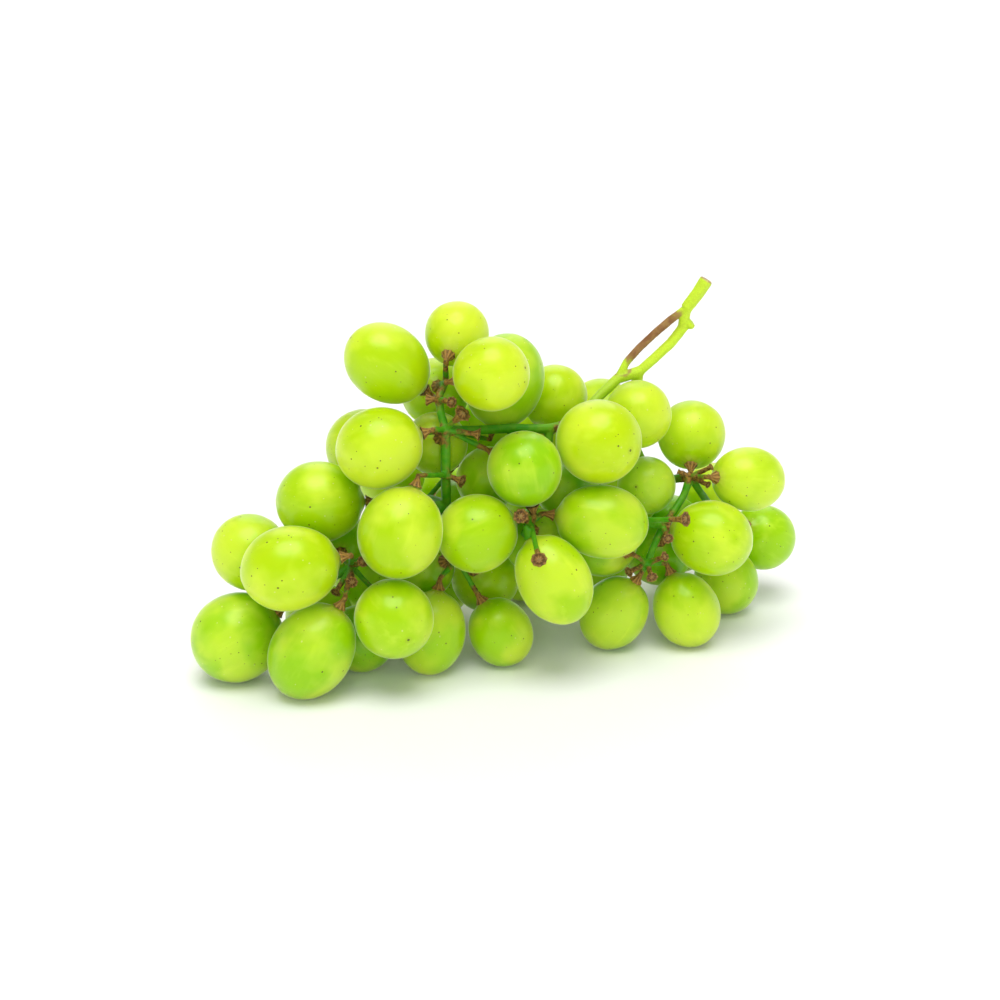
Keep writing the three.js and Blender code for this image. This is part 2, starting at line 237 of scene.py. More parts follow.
def vector_of(tree, x, y, z):
    return node_with(tree, "ShaderNodeCombineXYZ", inputs={"X": x, "Y": y, "Z": z})


def parts_of(tree, vector):
    """The three numbers of a vector field."""
    node = node_with(tree, "ShaderNodeSeparateXYZ", inputs={0: vector}).socket.node
    return [Field(tree, output) for output in node.outputs]


def vector_math(tree, operation, *values, output=0):
    inputs = dict(enumerate(values))
    return node_with(tree, "ShaderNodeVectorMath", output, inputs, operation=operation)


def noise_of(tree, place, scale, detail=2.0, roughness=0.5, seed=None):
    """Noise round 0.5 at a place. With a seed, each seed has noise of its own."""
    inputs = {"Vector": place, "Scale": scale, "Detail": detail, "Roughness": roughness}
    if seed is not None:
        inputs["W"] = seed
    dimensions = "3D" if seed is None else "4D"
    return node_with(tree, "ShaderNodeTexNoise", inputs=inputs, noise_dimensions=dimensions)


def mixed(tree, share, first, second):
    """Colour between two colours, at the Mix node's colour sockets: inputs 6 and 7, output 2."""
    node = tree.nodes.new("ShaderNodeMix")
    node.data_type = "RGBA"
    plug(tree, share, node.inputs["Factor"])
    plug(tree, opaque(first), node.inputs[6])
    plug(tree, opaque(second), node.inputs[7])
    return Field(tree, node.outputs[2])


def opaque(colour):
    """A colour with its alpha, where it has none."""
    if isinstance(colour, Field) or len(colour) == 4:
        return colour
    return (*colour, 1.0)


def attribute(tree, name, output="Fac"):
    return node_with(tree, "ShaderNodeAttribute", output=output, attribute_name=name)


def new_group(name, kind, inputs, outputs):
    """An empty node group with named sockets: (tree, {input name: field}, output node)."""
    tree = bpy.data.node_groups.new(name, kind)
    for label, socket_type, default in inputs:
        socket = tree.interface.new_socket(name=label, in_out="INPUT", socket_type=socket_type)
        if default is not None:
            socket.default_value = default
    for label, socket_type in outputs:
        tree.interface.new_socket(name=label, in_out="OUTPUT", socket_type=socket_type)
    entry = tree.nodes.new("NodeGroupInput")
    fields = {label: Field(tree, entry.outputs[label]) for label, _, _ in inputs}
    return tree, fields, tree.nodes.new("NodeGroupOutput")


def group_field(tree, group, output, **inputs):
    """Places a node group and returns one of its outputs as a field."""
    node = tree.nodes.new("ShaderNodeGroup")
    node.node_tree = group
    for name, value in inputs.items():
        plug(tree, value, node.inputs[name.replace("_", " ")])
    return Field(tree, node.outputs[output])


# What the frame says about each berry

class Berry:
    """Middle, long axis from stem end to tip, half length and half width of one CAD berry."""

    FLAT_HEIGHT = 0.05 * MM   # corners up to here lie on a resting berry's flat spot
    FIT_UNIT = 10 * MM        # the fit works with numbers near one

    def __init__(self, name, stem_points):
        self.name = name
        points = merged_points(name)
        points = points[points[:, 2] > self.FLAT_HEIGHT]
        origin = points.mean(0)
        x, y, z = (points - origin).T / self.FIT_UNIT
        terms = np.stack([x * x, y * y, z * z, 2 * x * y, 2 * x * z, 2 * y * z, 2 * x, 2 * y, 2 * z], 1)
        xx, yy, zz, xy, xz, yz, *slope = np.linalg.lstsq(terms, np.ones(len(points)), rcond=None)[0]
        curve = np.array([[xx, xy, xz], [xy, yy, yz], [xz, yz, zz]])
        middle = -np.linalg.solve(curve, np.array(slope))
        values, axes = np.linalg.eigh(curve / (1 + middle @ curve @ middle))
        halves = self.FIT_UNIT / np.sqrt(values)
        self.middle = Vector(origin + middle * self.FIT_UNIT)
        self.half_length = float(halves[0])
        self.half_width = float(halves[1:].mean())
        axis = Vector(axes[:, 0])
        ends = [np.array(self.middle + axis * side * self.half_length) for side in (-1, 1)]
        gaps = [np.linalg.norm(stem_points - end, axis=1).min() for end in ends]
        self.axis = axis if gaps[0] < gaps[1] else -axis


def merged_points(node):
    """Corners of a CAD node, each once."""
    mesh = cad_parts[node].data
    points = np.empty(len(mesh.vertices) * 3)
    mesh.vertices.foreach_get("co", points)
    return np.unique(points.reshape(-1, 3).round(7), axis=0)


# Berries

BERRY_INPUTS = (
    ("Sides", "NodeSocketInt", 72),
    ("Rings", "NodeSocketInt", 52),
    ("Half length", "NodeSocketFloat", 12 * MM),
    ("Half width", "NodeSocketFloat", 11 * MM),
    ("Fullness", "NodeSocketFloat", 0.012),
    ("Waviness", "NodeSocketFloat", 0.16 * MM),
    ("Dimple", "NodeSocketFloat", 0.3 * MM),
    ("Lip", "NodeSocketFloat", 0.42 * MM),
    ("Scar", "NodeSocketFloat", 0.5 * MM),
    ("Seed", "NodeSocketFloat", 0.0),
    ("Turn", "NodeSocketRotation", None),
    ("Middle", "NodeSocketVector", None),
    ("Skin", "NodeSocketMaterial", None),
)
PUCKERS = 9                   # creases round the cap
PUCKER_HEIGHT = 0.05 * MM
PUCKER_RADIUS = 3.0 * MM      # ring on which the creases are highest
PUCKER_WIDTH = 1.4 * MM
CAP_REACH = 1.9 * MM          # radius within which the skin rises into the cap
DIMPLE_RADIUS = 3.6 * MM
DIMPLE_WIDTH = 1.5 * MM
SCAR_DEPTH = 0.22 * MM
SCAR_RIM_RADIUS = 1.7         # radius and width of the rim round the scar, in radii of the scar
SCAR_RIM_WIDTH = 0.6
SCAR_RIM_HEIGHT = SCAR_DEPTH * 0.4
END_REACH = 0.6               # share of the half length over which an end's features fade in
SWELLINGS = 1.3               # slow swellings to one radius of the berry
FULLEST = 2.6                 # brings the greatest value of z - z^3 to one
FLOOR_CLEARANCE = 0.02 * MM


def berry_tree():
    """Geometry nodes of one berry: a ball drawn out to the berry's length and width.

    It is fuller towards the tip, with slow swellings, a dimple and puckers round the cap and a pitted scar
    at the tip, and flat where it lies on the floor.
    """
    tree, given, out = new_group(
        "Berry", "GeometryNodeTree", BERRY_INPUTS, [("Geometry", "NodeSocketGeometry")])
    ball = node_with(tree, "GeometryNodeMeshUVSphere",
                     inputs={"Segments": given["Sides"], "Rings": given["Rings"], "Radius": 1.0})
    place = node_with(tree, "GeometryNodeInputPosition")
    x, y, z = parts_of(tree, place)
    from_axis = (x * x + y * y).math("SQRT")
    radius = from_axis * given["Half width"]
    stem_side = (z * -1.0).step(0.0, END_REACH)
    tip_side = z.step(0.0, END_REACH)

    waves = noise_of(tree, place, SWELLINGS, detail=1.5, seed=given["Seed"]) - 0.5
    swelling = waves * given["Waviness"] * 2.0
    angle = y.math("ARCTAN2", x)
    creases = (angle * float(PUCKERS) + given["Seed"]).math("SINE") * PUCKER_HEIGHT
    puckers = creases * radius.hill(PUCKER_RADIUS, PUCKER_WIDTH) * stem_side
    dip = radius.hill(DIMPLE_RADIUS, DIMPLE_WIDTH) * stem_side * given["Dimple"]
    rise = radius.hill(0.0, CAP_REACH) * stem_side * given["Lip"]
    from_scar = radius / given["Scar"]
    pit = from_scar.hill(0.0, 1.0) * tip_side * SCAR_DEPTH
    rim = from_scar.hill(SCAR_RIM_RADIUS, SCAR_RIM_WIDTH) * tip_side * SCAR_RIM_HEIGHT
    height = swelling + puckers - dip + rise - pit + rim

    fuller = z * (z * z * -1.0 + 1.0) * given["Fullness"] * FULLEST + 1.0
    wide = given["Half width"] * fuller + height
    tall = given["Half length"] + height
    shaped = vector_of(tree, x * wide, y * wide, z * tall)
    turned = node_with(tree, "FunctionNodeRotateVector",
                       inputs={"Vector": shaped, "Rotation": given["Turn"]})
    placed = vector_math(tree, "ADD", turned, given["Middle"])
    px, py, pz = parts_of(tree, placed)
    rested = vector_of(tree, px, py, pz.math("MAXIMUM", FLOOR_CLEARANCE))

    unit = store(tree, ball, "unit", "FLOAT_VECTOR", place)
    moved = node_with(tree, "GeometryNodeSetPosition", inputs={"Geometry": unit, "Position": rested})
    finished(tree, moved, given["Skin"], out)
    return tree


def finished(tree, geometry, material, out):
    """Ends a tree: smooth shading, no instances left, and the material set."""
    smooth = node_with(tree, "GeometryNodeSetShadeSmooth", inputs={"Geometry": geometry})
    real = node_with(tree, "GeometryNodeRealizeInstances", inputs={"Geometry": smooth})
    dressed = node_with(tree, "GeometryNodeSetMaterial", inputs={"Geometry": real, "Material": material})
    plug(tree, dressed, out.inputs["Geometry"])


def store(tree, geometry, name, data_type, value):
    """Keeps a field on the points as a named attribute."""
    node = tree.nodes.new("GeometryNodeStoreNamedAttribute")
    node.data_type = data_type
    node.domain = "POINT"
    plug(tree, geometry, node.inputs["Geometry"])
    plug(tree, name, node.inputs["Name"])
    plug(tree, value, node.inputs["Value"])
    return Field(tree, node.outputs["Geometry"])


def grown(name, tree, values, start=None):
    """Runs a geometry tree once with the given named inputs, and returns its result as a plain object."""
    mesh = start or bpy.data.meshes.new(name + "_start")
    worker = bpy.data.objects.new(name + "_worker", mesh)
    bpy.context.scene.collection.objects.link(worker)
    modifier = worker.modifiers.new("Grow", "NODES")
    modifier.node_group = tree
    for item in tree.interface.items_tree:
        if item.in_out == "INPUT" and item.name in values:
            modifier[item.identifier] = values[item.name]
    bpy.context.view_layer.update()
    evaluated = worker.evaluated_get(bpy.context.evaluated_depsgraph_get())
    result = bpy.data.meshes.new_from_object(evaluated)
    worker.modifiers.remove(modifier)
    bpy.data.objects.remove(worker)
    bpy.data.meshes.remove(mesh)
    piece = bpy.data.objects.new(name, result)
    result.name = name
    bpy.context.scene.collection.objects.link(piece)
    return piece


def add_layer(mesh, name, values, kind="FLOAT"):
    """Keeps one value for each point of a mesh."""
    layer = mesh.attributes.new(name, kind, "POINT")
    field = "vector" if kind == "FLOAT_VECTOR" else "value"
    layer.data.foreach_set(field, np.asarray(values, float).ravel())


SEED_SHIFT = (17.0, 29.0, 41.0)   # how far a seed of one moves the cells of the specks


def speck_group():
    """Small round specks on a ball, one to a cell at most: 1 inside a speck, 0 outside."""
    tree, given, out = new_group("Specks", "ShaderNodeTree", (
        ("Direction", "NodeSocketVector", None),
        ("Seed", "NodeSocketFloat", 0.0),
        ("Cells", "NodeSocketFloat", 2.5),
        ("Radius", "NodeSocketFloat", 0.02),
        ("Share", "NodeSocketFloat", 0.5),
    ), [("Mask", "NodeSocketFloat")])
    shift = vector_of(tree, *(given["Seed"] * step for step in SEED_SHIFT))
    place = vector_math(tree, "ADD", given["Direction"], shift)
    middle = node_with(tree, "ShaderNodeTexVoronoi", output="Position", feature="F1",
                       inputs={"Vector": place, "Scale": given["Cells"]})
    colour = Field(tree, middle.socket.node.outputs["Color"])
    red, green, _ = parts_of(tree, colour)
    on_ball = vector_math(tree, "NORMALIZE", vector_math(tree, "SUBTRACT", middle, shift))
    away = vector_math(tree, "DISTANCE", on_ball, given["Direction"], output="Value")
    inside = (green + 0.5) - away / given["Radius"]
    chosen = red.math("LESS_THAN", given["Share"])
    plug(tree, inside.step(0.0, 0.5) * chosen, out.inputs["Mask"])
    return tree


def mottle_group():
    """Soft cloudy patches: 0 outside, 1 inside."""
    tree, given, out = new_group("Mottle", "ShaderNodeTree", (
        ("Place", "NodeSocketVector", None),
        ("Patches per metre", "NodeSocketFloat", 80.0),
        ("Edge", "NodeSocketFloat", 0.12),
    ), [("Mask", "NodeSocketFloat")])
    cloud = noise_of(tree, given["Place"], given["Patches per metre"], detail=3.0)
    mask = (cloud - 0.5) / given["Edge"] * 0.5 + 0.5
    plug(tree, mask.math("ADD", 0.0, clamp=True), out.inputs["Mask"])
    return tree


def shared_mottle():
    """The group of cloudy patches, built on first use."""
    return bpy.data.node_groups.get("Mottle") or mottle_group()


def new_material(name):
    """A material with an empty Principled surface: (material, tree, shader)."""
    material = bpy.data.materials.new(name)
    material.use_nodes = True
    return material, material.node_tree, material.node_tree.nodes["Principled BSDF"]


def bump_of(tree, height, distance, strength=1.0):
    return node_with(tree, "ShaderNodeBump", output="Normal",
                     inputs={"Height": height, "Distance": distance, "Strength": strength})


CROWN_BLUSH = (0.50, 0.52, 0.07)    # colour round the cap
PALE_SPECK = (0.70, 0.66, 0.30)
SCAR_RING = (0.34, 0.34, 0.04)      # colour round the scar
LARGE_SPECKS = (2.0, 0.019, 0.32)   # cells to one radius, radius of a speck, share of cells with one
SMALL_SPECKS = (4.0, 0.011, 0.11)
PALE_SPECKS = (7.0, 0.018, 0.06)
BLOOM_PATCHES = 52.0                # patches of bloom to the metre
PEEL_GRAINS = 900.0                 # grains of the skin to the metre
FIBRES_ACROSS = 5.0                 # fibres to one radius, across and along the berry
FIBRES_ALONG = 0.8


def grape_skin(settings, specks, mottle):
    """Thin clear skin over soft green flesh."""
    material, tree, shader = new_material("grape_skin")
    place = node_with(tree, "ShaderNodeTexCoord", output="Object")
    direction = vector_math(tree, "NORMALIZE", attribute(tree, "unit", "Vector"))
    shade = attribute(tree, "shade")
    x, y, z = parts_of(tree, direction)
    from_axis = (x * x + y * y).math("SQRT")
    tip_side = z.step(0.0, 0.5)

    # Per berry, shade mixes the berry's own tone with painted shade inside and low in the bunch, and with
    # painted light high up.
    flesh = mixed(tree, shade, settings.deep_and_shaded_green, settings.ripe)
    drawn_out = vector_of(tree, x * FIBRES_ACROSS, y * FIBRES_ACROSS, z * FIBRES_ALONG)
    fibres = noise_of(tree, drawn_out, 1.0, detail=3.0, seed=shade * 40.0)
    flesh = mixed(tree, fibres.step(0.5, 0.75) * 0.20, flesh, settings.haze)
    cloud = group_field(tree, mottle, "Mask", Place=place, Patches_per_metre=BLOOM_PATCHES, Edge=0.06)
    flesh = mixed(tree, cloud * 0.38, flesh, settings.haze)
    crown = from_axis.step(0.42, 0.10) * (z * -1.0).step(0.0, 0.5)
    flesh = mixed(tree, crown * 0.5, flesh, CROWN_BLUSH)

    large, small, pale = (
        group_field(tree, specks, "Mask", Direction=direction, Seed=shade,
                    Cells=cells, Radius=radius, Share=share)
        for cells, radius, share in (LARGE_SPECKS, SMALL_SPECKS, PALE_SPECKS))
    scar = from_axis.step(0.045, 0.025) * tip_side
    ring = from_axis.hill(0.075, 0.022) * tip_side
    flesh = mixed(tree, pale * 0.5, flesh, PALE_SPECK)
    flesh = mixed(tree, ring * 0.3, flesh, SCAR_RING)
    dark = large.math("MAXIMUM", small).math("MAXIMUM", scar)
    flesh = mixed(tree, dark * 0.85, flesh, settings.speck)
    plug(tree, flesh, shader.inputs["Base Color"])

    plug(tree, cloud * 0.08 + dark * 0.3 + 0.34, shader.inputs["Roughness"])
    peel = noise_of(tree, place, PEEL_GRAINS, detail=2.0)
    plug(tree, bump_of(tree, peel * 0.25 + dark * 0.6, 0.06 * MM), shader.inputs["Normal"])
    shader.inputs["Subsurface Weight"].default_value = 1.0
    shader.inputs["Subsurface Radius"].default_value = (0.8, 1.0, 0.1)
    shader.inputs["Subsurface Scale"].default_value = 25 * MM
    shader.inputs["IOR"].default_value = 1.4
    shader.inputs["Specular Tint"].default_value = (0.85, 1.0, 0.5, 1.0)
    shader.inputs["Coat Weight"].default_value = 0.25
    shader.inputs["Coat Roughness"].default_value = 0.2
    shader.inputs["Sheen Weight"].default_value = 0.85
    shader.inputs["Sheen Roughness"].default_value = 0.2
    shader.inputs["Sheen Tint"].default_value = (0.95, 1.0, 0.75, 1.0)
    return material


def berry_turn(berry, spin):
    """Turn that brings +Z onto the berry's axis, after a spin round it."""
    tilt = Vector((0, 0, 1)).rotation_difference(berry.axis)
    return (tilt @ Quaternion((0, 0, 1), spin)).to_euler()


NEIGHBOUR_REACH = 33 * MM     # berries whose middles are nearer than this darken each other with painted shade
OPEN = 5                      # neighbours of a berry that gets no painted shade
CROWDED = 10                  # neighbours of a berry inside the bunch, which gets the most painted shade
PAINTED_LIGHT_HEIGHT = 60 * MM        # berries from this height on get the full painted light from above
MOST_SHADED_SHARE = 0.05               # share of the ripe colour of a low berry inside the bunch, under the most painted shade
CHANCE = 0.10                 # how far chance moves the share of the ripe colour either way
BERRY_SEED = 7


def ripeness_and_painted_shade(berries, draw):
    """Share of the ripe colour. It is partly the berry's own chance tone and partly painted light and
    shade: yellower with few neighbours and high up, darker green as painted shade when crowded and low.
    """
    middles = np.array([berry.middle for berry in berries])
    gaps = np.linalg.norm(middles[:, None] - middles[None], axis=2)
    neighbours = (gaps < NEIGHBOUR_REACH).sum(1) - 1
    painted_light_share = np.clip((CROWDED - neighbours) / (CROWDED - OPEN), 0, 1)
    height = np.clip(middles[:, 2] / PAINTED_LIGHT_HEIGHT, 0, 1)
    chance = draw.uniform(-CHANCE, CHANCE, len(berries))
    # Painted light and shade: lone, high berries are made yellower and crowded, low ones darker green.
    # Chance is the berry's own tone.
    return np.clip(MOST_SHADED_SHARE + 0.5 * painted_light_share + 0.4 * height + chance, 0, 1)


class GRAPES_OT_berries(bpy.types.Operator):
    """Grows a fine berry over each CAD berry."""

    bl_idname = "grapes.berries"
    bl_label = "Grow berries"

    def execute(self, context):
        settings = context.scene.berry_settings
        draw = np.random.default_rng(BERRY_SEED)
        skin = grape_skin(settings, speck_group(), shared_mottle())
        tree = berry_tree()
        stem_points = merged_points(STEM_NODE)
        berries = [Berry(name, stem_points) for name in BERRY_NODES]
        for berry, shade in zip(berries, ripeness_and_painted_shade(berries, draw)):
            seed = float(draw.uniform(0, 50))
            values = {
                "Sides": settings.sides, "Rings": settings.rings,
                "Half length": berry.half_length, "Half width": berry.half_width,
                "Fullness": settings.fullness, "Waviness": settings.waviness,
                "Dimple": settings.dimple, "Lip": settings.lip,
                "Scar": settings.scar * float(draw.uniform(0.6, 1.15)),
                "Seed": seed, "Turn": berry_turn(berry, seed), "Middle": berry.middle, "Skin": skin,
            }
            piece = grown(berry.name + "_skin", tree, values)
            add_layer(piece.data, "shade", np.full(len(piece.data.vertices), shade))
            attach(piece, "root")
            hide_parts(berry.name)
        return {"FINISHED"}


# Stem

RED_ARM = ((54.2, 14.7, 102), (50.2, 14.7, 99), (42.2, 13.7, 92), (37.6, 12.3, 87.5), (34.6, 10.9, 84))
GREEN_ARM = ((54.2, 14.7, 102), (53.2, 15.7, 95), (46.2, 13.7, 88), (40.2, 11.7, 83))
ARM_REACH = 3.4 * MM          # from the middle of an arm to where its colour ends
RED_FADE = 8 * MM             # stretch over which the red arm turns green at either end
CAP_CORNERS = 6               # corners of a cap's flat end in the CAD stem
CUT_CORNERS = 7               # corners of the cut end of the peduncle
UNEVENNESS = 1.03             # most that the corners of one end may differ in distance from its middle
FLAT_ANGLE = math.radians(0.5)   # faces that differ by less lie in one plane
WELD = 0.001 * MM             # corners nearer than this are one
CAP_STRETCH = 1.5 * MM        # last stretch of a CAD cap, which is drawn in under the fine cap
CAP_SINK = 0.5 * MM           # how far the drawn-in end stays below the fine cap's face
CORE_RADIUS = 0.68 * MM       # radius it is drawn in to
CUT_DEPTH = 0.3 * MM          # how far the pale cut face reaches down
BROWN_START = 1.2             # above one, so that the bark next to a cap is brown all over
PAINTED_LIGHT_START = 1.7             # above one, so that the arms of the fork get the same painted light as the cut end
BARK_SEED = 3.0
CAP_SEED = 5.0


def flat_ends(mesh, corners):
    """Flat regular ends of the CAD stem: (middle, direction it faces, radius) of each."""
    work = bmesh.new()
    work.from_mesh(mesh)
    bmesh.ops.dissolve_limit(work, angle_limit=FLAT_ANGLE, verts=work.verts, edges=work.edges)
    ends = []
    for face in work.faces:
        middle = face.calc_center_median()
        reach = [(corner.co - middle).length for corner in face.verts]
        if len(reach) == corners and max(reach) < min(reach) * UNEVENNESS:
            ends.append((middle, face.normal.copy(), sum(reach) / corners))
    work.free()
    if not ends:
        raise RuntimeError(f"the stem has no flat end with {corners} corners")
    return ends


def draw_in(mesh, caps):
    """Slims the CAD caps, so that the fine ones cover them."""
    for corner in mesh.vertices:
        for middle, axis, rim in caps:
            height = (corner.co - middle).dot(axis)
            across = corner.co - middle - axis * height
            if -CAP_STRETCH < height < CAP_SINK and across.length < rim * UNEVENNESS:
                across.length = min(across.length, CORE_RADIUS)
                corner.co = middle + axis * min(height, -CAP_SINK) + across


def merged_copy(node):
    """Mesh copy of a CAD node with its doubled corners merged."""
    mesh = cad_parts[node].data.copy()
    work = bmesh.new()
    work.from_mesh(mesh)
    bmesh.ops.remove_doubles(work, verts=work.verts, dist=WELD)
    work.to_mesh(mesh)
    work.free()
    return mesh


def refined(mesh, grain):
    """Even, smooth faces over a mesh: voxel remesh, then smoothing."""
    worker = bpy.data.objects.new("stem_worker", mesh)
    bpy.context.scene.collection.objects.link(worker)
    remesh = worker.modifiers.new("Remesh", "REMESH")
    remesh.mode = "VOXEL"
    remesh.voxel_size = grain
    smooth = worker.modifiers.new("Smooth", "SMOOTH")
    smooth.factor = 0.5
    smooth.iterations = 4
    evaluated = worker.evaluated_get(bpy.context.evaluated_depsgraph_get())
    result = bpy.data.meshes.new_from_object(evaluated)
    worker.modifiers.clear()
    bpy.data.objects.remove(worker)
    return result


def edge_links(mesh):
    """For each point, its neighbours with their distances."""
    points = np.empty(len(mesh.vertices) * 3)
    mesh.vertices.foreach_get("co", points)
    points = points.reshape(-1, 3)
    pairs = np.empty(len(mesh.edges) * 2, int)
    mesh.edges.foreach_get("vertices", pairs)
    pairs = pairs.reshape(-1, 2)
    lengths = np.linalg.norm(points[pairs[:, 0]] - points[pairs[:, 1]], axis=1)
    links = [[] for _ in points]
    for (a, b), length in zip(pairs.tolist(), lengths.tolist()):
        links[a].append((b, length))
        links[b].append((a, length))
    return points, links


def distances_from(starts, links):
    """Shortest way along the surface from the nearest start to each point."""
    distance = np.full(len(links), np.inf)
    queue = [(0.0, start) for start in starts]
    for start in starts:
        distance[start] = 0.0
    heapq.heapify(queue)
    while queue:
        so_far, point = heapq.heappop(queue)
        if so_far > distance[point]:
            continue
        for other, length in links[point]:
            reached = so_far + length
            if reached < distance[other]:
                distance[other] = reached
                heapq.heappush(queue, (reached, other))
    return distance


def near_line(points, line, radius):
    """1 on a line through places given in millimetres, falling to 0 at the given radius from it."""
    best = np.full(len(points), np.inf)
    for start, end in zip(line, line[1:]):
        a = np.array(start) * MM
        b = np.array(end) * MM
        share = np.clip((points - a) @ (b - a) / ((b - a) @ (b - a)), 0, 1)
        best = np.minimum(best, np.linalg.norm(points - a - share[:, None] * (b - a), axis=1))
    return np.clip(1 - best / radius, 0, 1)


def red_share(points):
    """1 on the red arm, 0 on the green one, with a steep change between them and a fade at either end."""
    on_red = near_line(points, RED_ARM, ARM_REACH)
    nearer = np.clip((on_red - near_line(points, GREEN_ARM, ARM_REACH)) * 4 + 0.2, 0, 1)
    ends = [np.linalg.norm(points - np.array(end) * MM, axis=1) for end in (RED_ARM[0], RED_ARM[-1])]
    return nearer * (on_red > 0) * np.clip(np.minimum(*ends) / RED_FADE, 0, 1)


KNOBS = 620.0                 # knobs of the bark to the metre
SWELLS = 200.0                # its slow swells to the metre
CAP_GRAINS = 700.0            # grains of a cap to the metre
CAP_NECK = 0.34               # neck of a cap, in radii of its rim
CAP_LENGTH = 1.6              # length of a cap, likewise
CAP_OPENING = 2.2             # power with which a cap opens towards its rim
FLUTE_HEIGHT = 0.07           # height of the flutes at the rim, likewise
CAP_RING = 0.62               # radius, width and depth of the hollow ring in a cap's end, likewise
RING_WIDTH = 0.2
RING_DEPTH = 0.2
STUB_WIDTH = 0.2              # width and height of the stub in its middle, likewise
STUB_HEIGHT = 0.1
CAP_END = 0.97                # share of a cap's length from which its end begins


def bark_tree():
    """Geometry nodes of the bark: knobs, ridges and fine grain pushed out along the surface."""
    tree, given, out = new_group("Bark", "GeometryNodeTree", (
        ("Geometry", "NodeSocketGeometry", None),
        ("Knobbliness", "NodeSocketFloat", 0.3 * MM),
        ("Growth", "NodeSocketFloat", 0.12 * MM),
        ("Seed", "NodeSocketFloat", BARK_SEED),
        ("Bark", "NodeSocketMaterial", None),
    ), [("Geometry", "NodeSocketGeometry")])
    place = node_with(tree, "GeometryNodeInputPosition")
    normal = node_with(tree, "GeometryNodeInputNormal")
    brown = node_with(tree, "GeometryNodeInputNamedAttribute", inputs={"Name": "brown"})
    knobs = noise_of(tree, place, KNOBS, detail=2.0, seed=given["Seed"]).step(0.48, 0.72)
    swells = noise_of(tree, place, SWELLS, detail=1.0, seed=given["Seed"]) - 0.5
    rough = brown * 0.9 + 0.1
    height = given["Growth"] + given["Knobbliness"] * (knobs * rough + swells)
    offset = node_with(tree, "ShaderNodeVectorMath", operation="SCALE", inputs={0: normal, "Scale": height})
    moved = node_with(tree, "GeometryNodeSetPosition",
                      inputs={"Geometry": given["Geometry"], "Offset": offset})
    finished(tree, moved, given["Bark"], out)
    return tree


def cap_tree():
    """Geometry nodes of the caps: on each point a fluted trumpet as wide as the point's rim.

    Its end is sunken, with a ridge round it and a stub in its middle.
    """
    tree, given, out = new_group("Caps", "GeometryNodeTree", (
        ("Geometry", "NodeSocketGeometry", None),
        ("Sides", "NodeSocketInt", 30),
        ("Flutes", "NodeSocketInt", 8),
        ("Neck", "NodeSocketFloat", CAP_NECK),
        ("Length", "NodeSocketFloat", CAP_LENGTH),
        ("Roughness", "NodeSocketFloat", 0.3 * MM),
        ("Seed", "NodeSocketFloat", CAP_SEED),
        ("Bark", "NodeSocketMaterial", None),
    ), [("Geometry", "NodeSocketGeometry")])
    rod = node_with(tree, "GeometryNodeMeshCylinder", fill_type="TRIANGLE_FAN", inputs={
        "Vertices": given["Sides"], "Side Segments": 9, "Fill Segments": 5, "Radius": 1.0, "Depth": 1.0})
    x, y, z = parts_of(tree, node_with(tree, "GeometryNodeInputPosition"))
    along = z + 0.5
    from_axis = (x * x + y * y).math("SQRT")
    flute = (y.math("ARCTAN2", x) * given["Flutes"]).math("SINE")
    opening = given["Neck"] + (given["Neck"] * -1.0 + 1.0) * along.math("POWER", CAP_OPENING)
    wide = opening * (flute * along * FLUTE_HEIGHT + 1.0)
    end = along.step(CAP_END, 1.0)
    ring = from_axis.hill(CAP_RING, RING_WIDTH) * RING_DEPTH
    stub = from_axis.hill(0.0, STUB_WIDTH) * STUB_HEIGHT
    tall = (along - 1.0) * given["Length"] + (stub - ring) * end
    shaped = vector_of(tree, x * wide, y * wide, tall)
    kept = store(tree, rod, "along", "FLOAT", along)
    kept = store(tree, kept, "across", "FLOAT", from_axis)
    kept = store(tree, kept, "flute", "FLOAT", flute)
    trumpet = node_with(tree, "GeometryNodeSetPosition", inputs={"Geometry": kept, "Position": shaped})

    axis = node_with(tree, "GeometryNodeInputNamedAttribute",
                     data_type="FLOAT_VECTOR", inputs={"Name": "axis"})
    rim = node_with(tree, "GeometryNodeInputNamedAttribute", inputs={"Name": "rim"})
    facing = node_with(tree, "FunctionNodeAlignRotationToVector", axis="Z", inputs={"Vector": axis})
    placed = node_with(tree, "GeometryNodeInstanceOnPoints", inputs={
        "Points": given["Geometry"], "Instance": trumpet, "Rotation": facing, "Scale": rim})
    real = node_with(tree, "GeometryNodeRealizeInstances", inputs={"Geometry": placed})
    place = node_with(tree, "GeometryNodeInputPosition")
    normal = node_with(tree, "GeometryNodeInputNormal")
    grains = noise_of(tree, place, CAP_GRAINS, detail=2.0, seed=given["Seed"]) - 0.5
    height = grains * given["Roughness"] * 2.0
    offset = node_with(tree, "ShaderNodeVectorMath", operation="SCALE", inputs={0: normal, "Scale": height})
    moved = node_with(tree, "GeometryNodeSetPosition", inputs={"Geometry": real, "Offset": offset})
    finished(tree, moved, given["Bark"], out)
    return tree


CLOUDS = 420.0                # cloudy patches of the bark to the metre
PATCHES = 1300.0              # darker patches to the metre
FRECKLES = 2400.0             # freckles to the metre
PALE_GREEN = (0.40, 0.60, 0.03)
FRECKLE = (0.16, 0.10, 0.02)
DARK_BARK = (0.04, 0.022, 0.007)
RED_CLOUD = (0.46, 0.30, 0.10)
CUT_PITH = (0.62, 0.50, 0.20)
CUT_WOOD = (0.28, 0.17, 0.05)
# pale orange of the raised flutes, partly the cap's own colour and partly a painted highlight
CAP_RIDGE_AND_HIGHLIGHT = (0.62, 0.34, 0.09)
CAP_HOLLOW = (0.07, 0.03, 0.012)
CAP_STUB = (0.38, 0.27, 0.10)


